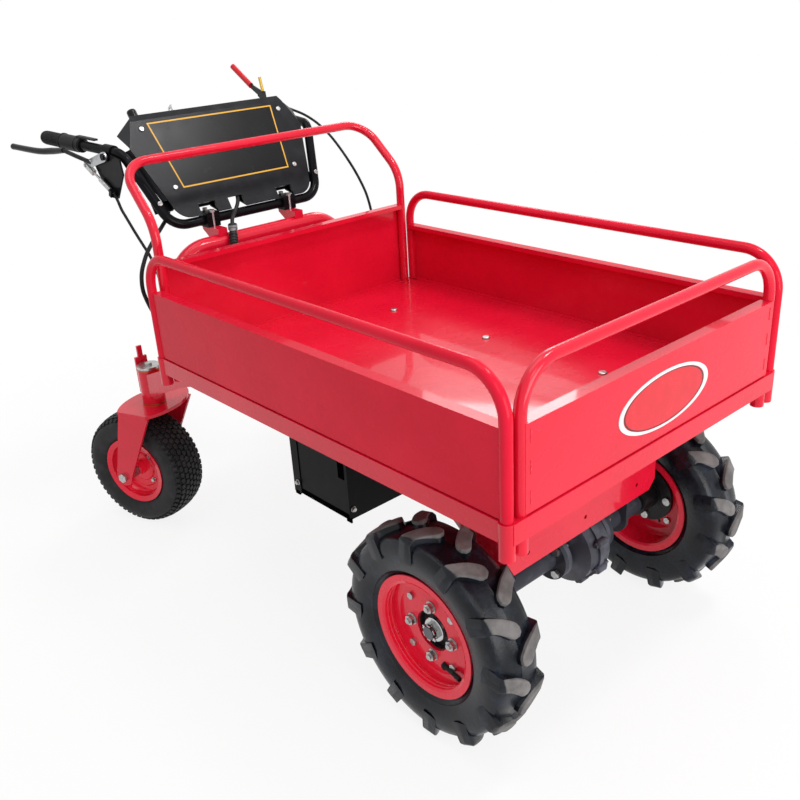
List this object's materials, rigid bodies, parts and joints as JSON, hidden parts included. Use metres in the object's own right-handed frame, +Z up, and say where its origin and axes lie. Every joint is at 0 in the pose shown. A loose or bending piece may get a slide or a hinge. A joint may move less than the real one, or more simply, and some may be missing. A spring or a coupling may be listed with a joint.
{
  "type": "electric mini dumper",
  "caption": "Walk-behind battery barrow with a red lift-out-panel load bed, two driven farm-tread wheels, two swivel casters and a handlebar console.",
  "frame": {"origin": "on the ground under the middle of the whole machine", "axes": "+Z up, -Y the front of the load bed (the way it drives), +X the machine's left"},
  "size_m": [0.8292, 1.6158, 1.0453],
  "materials": {
    "red_paint": "gloss",
    "black_paint": "satin",
    "zinc_steel": "satin",
    "black_plastic": "matte",
    "black_rubber": "matte",
    "tyre_rubber": "matte",
    "black_casting": "painted satin",
    "bearing_steel": "polished",
    "grey_plastic": "matte",
    "finned_alloy": "satin",
    "glossy_plastic": "gloss",
    "bright_metal": "polished",
    "red_sleeve": "satin",
    "bronze": "satin"
  },
  "bodies": {
    "chassis": {"chassis_frame": "red_paint", "caster_arms": "red_paint", "bed_frame": "red_paint", "bed_floor": "red_paint", "floor_bolts": "zinc_steel", "gear_case": "black_casting", "axle_tubes": "black_paint", "axle_bearings": "bearing_steel", "frame_bolts": "zinc_steel", "drive_motor": "black_casting", "battery_box": "black_paint", "batteries": "grey_plastic", "motor_controller": "finned_alloy", "handlebar_arch": "red_paint", "bar_clamps": "black_paint", "handlebar": "black_paint", "console_front": "black_paint", "console_back": "black_paint", "console_screws": "zinc_steel", "battery_gauge": "glossy_plastic", "key_switch": "bright_metal", "handle_grips": "black_rubber", "throttle_body": "black_plastic", "brake_bracket": "black_paint", "left_lever_bracket": "black_paint", "wiring_conduit": "black_plastic", "brake_cable": "black_rubber", "left_cable": "black_rubber", "power_cable": "black_rubber", "kingpin_bushes": "bronze"},
    "left_side": {"left_side_panel": "red_paint"},
    "right_side": {"right_side_panel": "red_paint"},
    "front_gate": {"front_panel": "red_paint"},
    "rear_gate": {"rear_panel": "red_paint"},
    "brake_hand_lever": {"brake_lever": "black_paint"},
    "brake_pull_rod": {"brake_rod": "zinc_steel"},
    "left_hand_lever": {"left_lever": "red_sleeve"},
    "throttle_thumb_lever": {"throttle_lever": "black_plastic"},
    "key": {"ignition_key": "bright_metal"},
    "direction_switch": {"direction_knob": "glossy_plastic"},
    "left_drive_wheel": {"left_drive_tyre": "tyre_rubber", "left_rim_outer": "red_paint", "left_rim_inner": "red_paint", "left_drive_hub": "black_casting", "left_wheel_bolts": "zinc_steel"},
    "left_caster": {"left_caster_fork": "red_paint", "left_caster_fasteners": "zinc_steel"},
    "left_caster_wheel": {"left_caster_rim": "red_paint", "left_caster_tyre": "tyre_rubber"},
    "left_lock": {"left_swivel_lock": "red_paint"},
    "right_drive_wheel": {"right_drive_tyre": "tyre_rubber", "right_rim_outer": "red_paint", "right_rim_inner": "red_paint", "right_drive_hub": "black_casting", "right_wheel_bolts": "zinc_steel"},
    "right_caster": {"right_caster_fork": "red_paint", "right_caster_fasteners": "zinc_steel"},
    "right_caster_wheel": {"right_caster_rim": "red_paint", "right_caster_tyre": "tyre_rubber"},
    "right_lock": {"right_swivel_lock": "red_paint"}
  },
  "joints": [
    {"name": "left_drive_spin", "type": "hinge", "parent": "chassis", "child": "left_drive_wheel", "pos_m": [0.309, -0.58692, 0.202], "axis": [1, 0, 0], "continuous": true},
    {"name": "left_caster_swivel", "type": "hinge", "parent": "chassis", "child": "left_caster", "pos_m": [0.294, 0.41008, 0.332], "axis": [0, 0, 1], "continuous": true},
    {"name": "left_caster_spin", "type": "hinge", "parent": "left_caster", "child": "left_caster_wheel", "pos_m": [0.31782, 0.47055, 0.1478], "axis": [0.9304, -0.3665, 0], "continuous": true},
    {"name": "left_lock_slide", "type": "slide", "parent": "chassis", "child": "left_lock", "axis": [0, 0, 1], "range_m": [0, 0.025]},
    {"name": "right_drive_spin", "type": "hinge", "parent": "chassis", "child": "right_drive_wheel", "pos_m": [-0.309, -0.58692, 0.202], "axis": [1, 0, 0], "continuous": true},
    {"name": "right_caster_swivel", "type": "hinge", "parent": "chassis", "child": "right_caster", "pos_m": [-0.294, 0.41008, 0.332], "axis": [0, 0, 1], "continuous": true},
    {"name": "right_caster_spin", "type": "hinge", "parent": "right_caster", "child": "right_caster_wheel", "pos_m": [-0.31782, 0.47055, 0.1478], "axis": [0.9304, 0.3665, 0], "continuous": true},
    {"name": "right_lock_slide", "type": "slide", "parent": "chassis", "child": "right_lock", "axis": [0, 0, 1], "range_m": [0, 0.025]},
    {"name": "left_side_lift", "type": "slide", "parent": "chassis", "child": "left_side", "axis": [0, 0, 1], "range_m": [0, 0.058]},
    {"name": "right_side_lift", "type": "slide", "parent": "chassis", "child": "right_side", "axis": [0, 0, 1], "range_m": [0, 0.058]},
    {"name": "front_gate_lift", "type": "slide", "parent": "chassis", "child": "front_gate", "axis": [0, 0, 1], "range_m": [0, 0.058]},
    {"name": "rear_gate_lift", "type": "slide", "parent": "chassis", "child": "rear_gate", "axis": [0, 0, 1], "range_m": [0, 0.058]},
    {"name": "brake_lever_pull", "type": "hinge", "parent": "chassis", "child": "brake_hand_lever", "pos_m": [-0.281, 0.47308, 0.905], "axis": [1, 0, 0], "range_deg": [0, 7], "stiffness_Nm_per_rad": 2, "springref_deg": -17.19},
    {"name": "brake_rod_pin", "type": "hinge", "parent": "brake_hand_lever", "child": "brake_pull_rod", "pos_m": [-0.281, 0.57208, 0.878], "axis": [1, 0, 0], "range_deg": [-2.68, 0]},
    {"name": "throttle_press", "type": "hinge", "parent": "chassis", "child": "throttle_thumb_lever", "pos_m": [-0.2797, 0.59799, 0.92258], "axis": [-0.1411, 0.9876, 0.0689], "range_deg": [0, 45], "stiffness_Nm_per_rad": 0.1, "springref_deg": -17.19},
    {"name": "left_lever_press", "type": "hinge", "parent": "chassis", "child": "left_hand_lever", "pos_m": [0.286, 0.67408, 0.9685], "axis": [-1, 0, 0], "range_deg": [0, 25], "stiffness_Nm_per_rad": 1, "springref_deg": -22.92},
    {"name": "key_turn", "type": "hinge", "parent": "chassis", "child": "key", "pos_m": [-0.07, 0.51174, 0.95879], "axis": [0, 0.5719, 0.8203], "range_deg": [0, 90]},
    {"name": "direction_turn", "type": "hinge", "parent": "chassis", "child": "direction_switch", "pos_m": [-0.184, 0.49041, 0.97366], "axis": [0, 0.5719, 0.8203], "range_deg": [-45, 45]}
  ],
  "couplings": [
    {"joint": "brake_rod_pin", "follows": "brake_lever_pull", "ratio": -0.37564}
  ]
}
